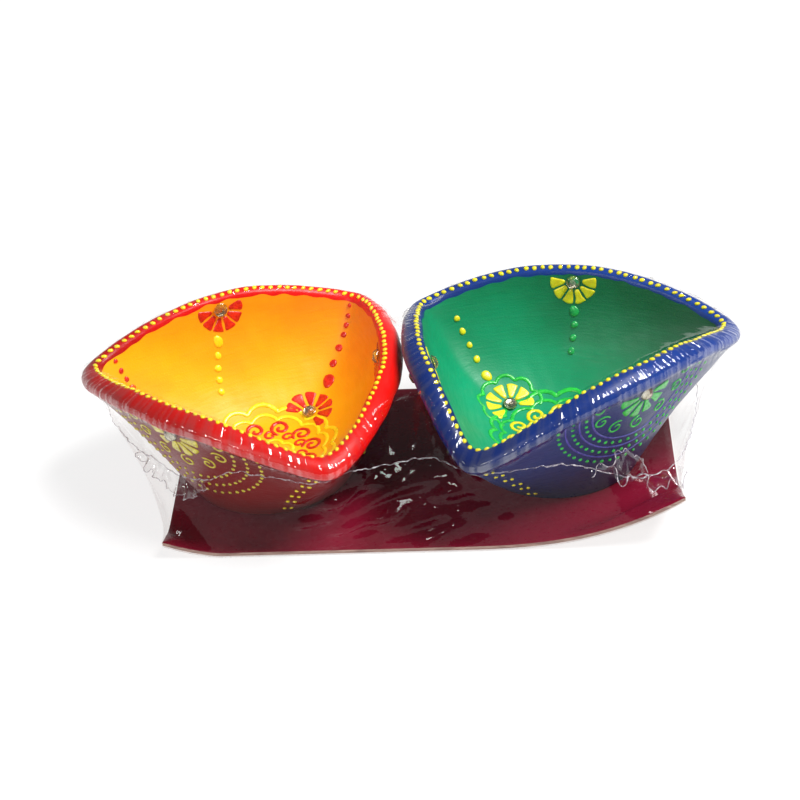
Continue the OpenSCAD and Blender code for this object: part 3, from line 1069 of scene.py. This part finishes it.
def upper_web(sides):
    """The film from the seam up over the lips and across the mouths."""
    def above(side, count):
        return over_the_lips(spread_along(sides[side], count))

    rows, columns = (SIDE_COLUMNS - 2 * SKIRT_ROWS) // 4 + 1, (FRONT_COLUMNS - 2 * SKIRT_ROWS) // 4 + 1
    top = np.zeros((rows, columns, 3))
    put_ring(top, 0, above)
    v, u = np.linspace(0, 1, rows)[:, None, None], np.linspace(0, 1, columns)[None, :, None]
    between_ends = top[:1] * (1 - v) + top[-1:] * v
    between_sides = top[:, :1] * (1 - u) + top[:, -1:] * u
    top[1:-1, 1:-1] = (between_ends * 0.5 + between_sides * 0.5)[1:-1, 1:-1] + np.array([0, 0, START_RISE])
    top = stretched(top, STRETCH_ROUNDS[0])
    for rounds in STRETCH_ROUNDS[1:]:
        top = doubled(top)
        put_ring(top, 0, above)
        top = stretched(top, rounds)
    grid = np.zeros((SIDE_COLUMNS + 1, FRONT_COLUMNS + 1, 3))
    grid[SKIRT_ROWS:-SKIRT_ROWS, SKIRT_ROWS:-SKIRT_ROWS] = top
    for step in range(SKIRT_ROWS + 1):
        share = step / SKIRT_ROWS

        def between(side, count):
            along = spread_along(sides[side], count)
            return off_the_bowls(along * (1 - share) + over_the_lips(along) * share) if step else along

        put_ring(grid, step, between)
    return grid


def card_border():
    """The card's edge, sampled like the seam."""
    corners = [(-1, -1), (1, -1), (1, 1), (-1, 1), (-1, -1)]
    loop = []
    for (u0, v0), (u1, v1), count in zip(corners, corners[1:], COLUMNS_BY_SIDE):
        t = np.linspace(0, 1, count, endpoint=False)
        u, v = u0 + (u1 - u0) * t, v0 + (v1 - v0) * t
        x, y = card_place(u, v)
        loop.append(np.stack([x, y, card_lift(x, y)], 1))
    return np.concatenate(loop)


def grid_normals(points, closed):
    """Normals of a grid of points."""
    if closed:
        along = np.roll(points, -1, 1) - np.roll(points, 1, 1)
    else:
        along = np.gradient(points, axis=1)
    return unit(np.cross(along, np.gradient(points, axis=0)) + 1e-9)


def lower_web(sides):
    """The film from the seam to the edge of the card, after the seam, the edge and the way out from it."""
    seam = np.concatenate([side[:-1] for side in sides])
    edge = card_border()
    centre = edge.mean(0)
    outward = unit((edge - centre) * np.array([1, 1, 0]))
    rim = edge + outward * 0.35 + np.array([0, 0, CARD_TOP])
    t = np.linspace(0, 1, LOWER_ROWS)[:, None, None]
    wall = seam[None] * (1 - t) + rim[None] * t
    for k in range(RELAX_ROUNDS):
        middle = (wall[:-2] + wall[2:] + np.roll(wall, 1, 1)[1:-1] + np.roll(wall, -1, 1)[1:-1]) / 4
        if (k + 1) % PUSH_EVERY == 0:
            middle = off_the_bowls(middle.reshape(-1, 3)).reshape(middle.shape)
        wall[1:-1] = middle
    return seam, edge, outward, wall


def lower_wrinkles(wall):
    """The lower web with gathers that hang from the seam, leaning folds, and slack on the front middle."""
    normals = grid_normals(wall, True)
    run = np.linspace(0, 1, wall.shape[0])[:, None]
    columns = wall.shape[1]
    turn = 2 * math.pi * np.arange(columns) / columns
    around = np.stack([np.cos(turn), np.sin(turn)], 1) * columns * 0.8 / (2 * math.pi)
    gathers = wobble(around, 3.2, 21) * 0.3
    folds = wobble(around, 13, 22) * 0.55
    slant = np.stack([np.broadcast_to(around[None, :, 0], wall.shape[:2]) + run * 9,
                      np.broadcast_to(around[None, :, 1], wall.shape[:2]) - run * 5], -1)
    leaning = wobble(slant, 7, 23) * 0.35
    belly = np.sin(math.pi * run) ** 0.8
    front_middle = np.exp(-((wall[..., 0] + 4) / 24) ** 2) * (wall[..., 1] < 0)
    across, up = wall[..., 0], wall[..., 2]
    slanted = np.stack([across * 0.8 + up * 1.1, (up - across * 0.5) * 1.8], -1)
    slack = wobble(slanted, 13, 24)
    height = gathers * np.exp(-run / 0.09) * 0.9 + belly * (
        folds * 0.4 + leaning * 0.3 + slack * front_middle * 1.9)
    fade = np.minimum(1, run / 0.04) * np.minimum(1, (1 - run) / 0.06)
    return wall + normals * (height * fade)[..., None]


def lip_crinkles(points):
    """Fine pleats that cross each lip, as the same height along each line out from a bowl's middle."""
    heights = []
    for bowl in (RED, BLUE):
        turn = np.radians(bowl.seen_from_axis(points)[0])
        heights.append(wobble(np.stack([np.cos(turn), np.sin(turn)], 1) * PLEATED_RADIUS, 2.2, 35) * 0.2)
    return np.where(points[:, 0] < 0, heights[0], heights[1])


def mark_lips(piece, near):
    """Keeps how near each point is to a lip, for the film's material."""
    piece.data.attributes.new("rim_near", "FLOAT", "POINT").data.foreach_set("value", near.astype(np.float32))


def build_upper_film(sides, material):
    """The upper web, with gathers along the seam and pleats over the lips."""
    grid = upper_web(sides)
    normals = grid_normals(grid, False)
    rows, columns = grid.shape[:2]
    j, i = np.meshgrid(np.arange(rows), np.arange(columns), indexing="ij")
    from_edge = np.minimum(np.minimum(j, rows - 1 - j), np.minimum(i, columns - 1 - i)) * 0.85
    gathers = wobble(grid, 3.4, 31) * 0.3 * np.exp(-from_edge / 3.5)
    tension = wobble(grid * np.array([1, 1, 0.3]), 11, 32) * 0.1
    fade = np.minimum(1, from_edge / 1.5)
    flat = grid.reshape(-1, 3)
    held = np.clip(1 - lip_gap(flat) / 1.2, 0, 1).reshape(rows, columns)
    crinkles = lip_crinkles(flat).reshape(rows, columns) * held
    grid = grid + normals * ((gathers + tension) * fade + np.abs(crinkles))[..., None]
    faces = flipped(ring_faces(rows, columns, closed=False))
    upper = make_piece("film_upper_web", grid.reshape(-1, 3), faces, [material], ["film_upper"])
    mark_lips(upper, held.reshape(-1))


def build_lower_film(sides, material):
    """The lower web, tucked under the card. Returns the seam."""
    seam, edge, outward, wall = lower_web(sides)
    rings = [*lower_wrinkles(wall), edge + outward * 0.42 + np.array([0, 0, CARD_BOTTOM + 0.3]),
             edge + outward * 0.1 + np.array([0, 0, UNDER_CARD])]
    under = edge.mean(0)
    for share in np.linspace(0.93, 0.12, 10):
        ring = under + (edge - under) * share
        ring[:, 2] = card_lift(ring[:, 0], ring[:, 1]) + UNDER_CARD
        rings.append(ring)
    points = np.array(rings)
    count, columns = points.shape[:2]
    last = (count - 1) * columns
    points = np.vstack([points.reshape(-1, 3), [[under[0], under[1], UNDER_CARD]]])
    faces = flipped(ring_faces(count, columns))
    faces += [(len(points) - 1, last + (k + 1) % columns, last + k) for k in range(columns)]
    lower = make_piece("film_lower_web", points, faces, [material], ["film_lower"])
    mark_lips(lower, np.zeros(len(points)))
    return seam


def crumpled_tube(name, path, radius, jitter, seed, material, closed):
    """A melted bead along a path, that wanders and swells."""
    rng = np.random.default_rng(seed)
    count = len(path)
    run = np.arange(count)[:, None] * 0.3
    wander = np.stack([wobble(np.hstack([run, path * 0.05]), 2.6, seed + k) for k in range(3)], 1)
    if not closed:
        wander *= np.minimum(1, np.minimum(np.arange(count), count - 1 - np.arange(count)) / 6)[:, None]
    path = path + wander * jitter
    ahead = unit((np.roll(path, -1, 0) - np.roll(path, 1, 0)) if closed else np.gradient(path, axis=0))
    side = unit(np.cross(ahead, np.array([0.1, 0.2, 1.0])))
    up = np.cross(side, ahead)
    swell = radius * (1 + 0.45 * wobble(np.hstack([run, path * 0.05]), 1.8, seed + 7))
    swell = np.maximum(swell, radius * 0.35)
    sides = 6
    points = []
    for k in range(count):
        flat = 0.6 + 0.3 * rng.random()
        for j in range(sides):
            w = 2 * math.pi * j / sides
            points.append(path[k] + side[k] * math.cos(w) * swell[k] + up[k] * math.sin(w) * swell[k] * flat)
    make_piece(name, np.array(points), tube_faces(count, sides, closed), [material])


def ear(name, base, outward, widths, folds, depth, seed, film, weld):
    """A crumpled flap of spare film standing out of the seam, with a melted edge."""
    count, rows = 90, 16
    spine = smooth_line(base, count)
    spread = smooth_line(outward, count)
    width = np.interp(np.linspace(0, 1, count), np.linspace(0, 1, len(widths)), widths)
    across = unit(np.cross(np.gradient(spine, axis=0), spread))
    t = np.linspace(0, 1, count)
    grid = []
    for v in np.linspace(0, 1, rows):
        waves = 2 * math.pi * folds * t
        fold = depth * v**0.8 * (np.sin(waves + 2.2 * v) + 0.5 * np.sin(waves * 2.3 + 1.3))
        curl = spread * (width * v)[:, None] + across * fold[:, None]
        ring = spine + curl
        ring = ring + np.stack([wobble(ring, 4.2, seed + k) for k in range(3)], 1) * 0.55 * v
        grid.append(ring)
    points = np.array(grid)
    faces = ring_faces(rows, count, closed=False)
    flap = make_piece(name, points.reshape(-1, 3), faces, [film])
    mark_lips(flap, np.zeros(rows * count))
    rim = resampled(points[-1], 180)
    crumpled_tube(name + "_edge", rim, 0.13, 0.1, seed + 40, weld, False)


# ---- Put together ----

# Where each bowl's painting differs. A trail's steps are its turn, its place up the wall and its size.
RED.side_stones_outside, RED.faint_arcs = RED.side_stones, ()
RED.back_stone, RED.corner_turns, RED.dot_row_side = 118, (-3.6, 0.8, 0.8), -1
RED.back_trail = [
    (4.8, 0.91, 2.7), (7.2, 0.863, 1.9), (9.6, 0.813, 1.8), (11.4, 0.761, 1.8), (13.5, 0.7, 1.9),
]
RED.corner_trail = [
    (0, 0.99, 1.1), (0, 0.965, 1.3), (0, 0.938, 1.4), (0.2, 0.905, 1.7), (0.6, 0.852, 1.9), (0.8, 0.779, 2.1),
    (-0.9, 0.686, 3.0),
]
BLUE.side_stones_outside, BLUE.faint_arcs = (79, 199, 312), (16.8, 20.5, 24.4)
BLUE.back_stone, BLUE.corner_turns, BLUE.dot_row_side = 79.5, (0, -1.2, 0), 1
BLUE.back_trail = [(0, 0.912, 2.5), (-0.4, 0.866, 1.8), (0, 0.813, 1.7), (0.6, 0.752, 1.8)]
BLUE.corner_trail = [
    (0.4, 0.948, 1.5), (0.2, 0.906, 1.6), (0, 0.85, 1.7), (0.2, 0.783, 1.9), (0.4, 0.689, 2.7),
]

YELLOW = outliner_paint("lemon_paint", srgb(255, 244, 30), srgb(244, 222, 14))
SCARLET = outliner_paint("scarlet_paint", srgb(228, 44, 16), srgb(196, 24, 10))
LEAF = outliner_paint("leaf_green_paint", srgb(38, 214, 70), srgb(12, 176, 60))
MINT = outliner_paint("mint_paint", srgb(40, 190, 92), srgb(24, 160, 84))
GOLD = outliner_paint("ochre_yellow_paint", srgb(226, 214, 50), srgb(190, 174, 30))
VIOLET = outliner_paint("violet_paint", srgb(84, 84, 190), srgb(62, 64, 160))


def paint_bowl(bowl, inside, inside_tone_and_shade_tilt, lip, lip_places, lip_light_tilt, outside):
    """The clay of a bowl in its three brushed paints."""
    name = f"{bowl.name}_bowl"
    build_bowl(
        bowl,
        brushed_paint(name + "_inside_paint", stops_of((0, 0.4, 0.75, 1), inside), inside_tone_and_shade_tilt, 0.45, 0.05),
        brushed_paint(name + "_lip_paint", stops_of(lip_places, lip), lip_light_tilt, 0.35, 0.1, stroke_shade=0.5),
        brushed_paint(name + "_outside_paint", stops_of((0, 0.5, 1), outside), (0, 0, 0.028, 0), 0.4, 0.2))


# Red inside: the paint's own yellow-to-orange rise up the wall, and painted shade turning it orange towards
# the right
paint_bowl(RED, [(255, 196, 0), (255, 164, 0), (252, 126, 0), (244, 96, 0)], (0.006, 0.0, 0.016, 0.12),
           # Red lip: painted shade at the left front and painted light towards the right, back and top
           [(150, 2, 2), (214, 8, 2), (244, 12, 2)], (0, 0.4, 1), (0.009, 0.004, 0.01, 0.55),
           [(140, 12, 10), (126, 6, 8), (112, 2, 8)])
# Blue inside: darker green up the wall, and painted shade darkening it towards the right and back
paint_bowl(BLUE, [(0, 170, 122), (0, 146, 98), (8, 110, 68), (24, 98, 62)], (0.007, 0.002, 0.012, -0.15),
           # Blue lip: painted shade at the left front and painted light towards the right, back and top
           [(0, 24, 86), (0, 46, 128), (2, 60, 152)], (0, 0.5, 1), (0.006, 0.006, 0.01, 0.0),
           [(14, 40, 92), (18, 48, 104), (18, 50, 118)])

crown = glass_crown("stone_glass")
foil = foil_backing("stone_foil")
build_stones(RED, crown, foil)
build_stones(BLUE, crown, foil)


LAYERS = ("rim", "petals", "trail", "outline", "curls", "fans", "lines", "faint")


def decorate(bowl, seed, colours):
    """All the painting on a bowl, with one mesh and one colour for each of its layers."""
    layers = [Paint(bowl, seed + k) for k in range(len(LAYERS))]
    rim, petals, trail_dots, outline, curls, fans, lines, faint = layers
    rim_dots(rim)
    inner_marks(bowl, petals, trail_dots, outline, curls)
    outer_marks(bowl, fans, lines, rim, faint)
    for paint, name, colour in zip(layers, LAYERS, colours):
        if paint.points:
            paint.build(f"{bowl.name}_bowl_{name}", colour)


decorate(RED, 100, (YELLOW, SCARLET, YELLOW, YELLOW, SCARLET, GOLD, GOLD, VIOLET))
decorate(BLUE, 200, (YELLOW, YELLOW, MINT, LEAF, YELLOW, LEAF, LEAF, VIOLET))

build_card(card_face("card_laminate"), card_board("card_raw_board"))

film = film_look("shrink_film", 0.016, 0.13, (0.985, 0.98, 0.975, 1))
weld = weld_look("film_weld")
crumpled = film_look("crumpled_film", 0.09, 0.09, (0.97, 0.965, 0.965, 1))
sides = [off_the_bowls(smooth_line(side, count + 1)) for side, count in zip(SEAM, COLUMNS_BY_SIDE)]
build_upper_film(sides, film)
seam = build_lower_film(sides, film)
bead = resampled(np.vstack([seam, seam[:1]]), 1700, True)
bead_radius = 0.11 + 0.08 * np.clip((-15 - bead[:, 1]) / 10, 0, 1)  # thicker along the front
crumpled_tube("film_seam_weld", bead, bead_radius, 0.2, 61, weld, True)
ear("film_ear_right", [(50, -38, 24), (57, -35.8, 20), (64, -32.8, 17.2), (72, -27, 16.2)],
    [(0.1, -0.75, 0.65), (0.3, -0.8, 0.5), (0.7, -0.7, 0.1), (1, -0.5, -0.2)],
    [1.5, 7.5, 9, 8, 3], 3.6, 1.9, 71, crumpled, weld)
ear("film_ear_right_spike", [(56, -36.2, 21), (60, -35, 19.4), (64, -33, 17.6)],
    [(-0.15, -0.3, 0.94), (0.0, -0.35, 0.93), (0.2, -0.4, 0.9)],
    [4, 12, 9, 3], 1.7, 1.1, 91, crumpled, weld)
ear("film_ear_left", [(-72, -23, 25), (-66, -29, 25), (-59, -34, 23), (-51, -39, 24.5)],
    [(0.0, -0.35, -0.93), (0.0, -0.4, -0.9), (0.05, -0.45, -0.9), (0.1, -0.5, -0.85)],
    [2, 4.5, 6, 5.5, 2.5], 7.5, 0.9, 81, crumpled, weld)


# ---- Studio ----

def build_floor():
    """The table: not part of the object."""
    mesh = bpy.data.meshes.new("studio_floor")
    half = 1.6
    corners = [(-half, -half, 0), (half, -half, 0), (half, half, 0), (-half, half, 0)]
    mesh.from_pydata(corners, [], [(0, 1, 2, 3)])
    mesh.materials.append(floor_look("studio_floor_paint"))
    floor = placed("studio_floor", mesh)
    floor.location.z = -0.0001  # just clear of the film under the card


def area_light(name, place, target, size, power):
    """A rectangular softbox aimed at target, in metres."""
    data = bpy.data.lights.new(name, "AREA")
    data.shape = "RECTANGLE"
    data.size, data.size_y = size
    data.energy = power
    lamp = placed(name, data)
    lamp.location = place
    lamp.rotation_mode = "QUATERNION"
    lamp.rotation_quaternion = (Vector(target) - Vector(place)).to_track_quat("-Z", "Y")


def build_studio():
    """Floor, even white surroundings and two softboxes."""
    build_floor()
    world = bpy.data.worlds.new("studio")
    world.use_nodes = True
    background = world.node_tree.nodes["Background"].inputs
    background["Color"].default_value = (1, 1, 1, 1)
    background["Strength"].default_value = 0.22
    bpy.context.scene.world = world
    area_light("key_softbox", (1.14, -0.12, 1.94), (0, 0, 0.02), (1.1, 0.9), 66)
    area_light("front_softbox", (-0.9, -1.5, 1.1), (0, 0, 0.02), (0.5, 0.3), 9)
    bpy.context.scene.view_settings.view_transform = "Standard"


VIEW_YAW, VIEW_ELEVATION, VIEW_ROLL = 6.56, 32.01, -5.36
VIEW_ASIDE, VIEW_HEIGHT, VIEW_DISTANCE = -0.00229, 0.02301, 0.6128  # metres


def build_camera():
    """The photograph's view: 32 degrees above the table, a little to the right, and rolled."""
    data = bpy.data.cameras.new("photo_camera")
    data.sensor_width = 36.0
    data.lens = 100.13
    data.clip_start, data.clip_end = 0.01, 20.0
    camera = placed("photo_camera", data)
    yaw, elevation, roll = (math.radians(turn) for turn in (VIEW_YAW, VIEW_ELEVATION, VIEW_ROLL))
    level_back = Vector((math.sin(yaw), -math.cos(yaw), 0))
    back = level_back * math.cos(elevation) + Vector((0, 0, math.sin(elevation)))
    target = Vector((VIEW_ASIDE * math.cos(yaw), VIEW_ASIDE * math.sin(yaw), VIEW_HEIGHT))
    right = (-back).cross(Vector((0, 0, 1))).normalized()
    up = right.cross(-back)
    turned_right = math.cos(roll) * right + math.sin(roll) * up
    turned_up = -math.sin(roll) * right + math.cos(roll) * up
    camera.matrix_world = Matrix.Translation(target + back * VIEW_DISTANCE) @ Matrix(
        (turned_right, turned_up, back)).transposed().to_4x4()
    bpy.context.scene.camera = camera


build_studio()
build_camera()
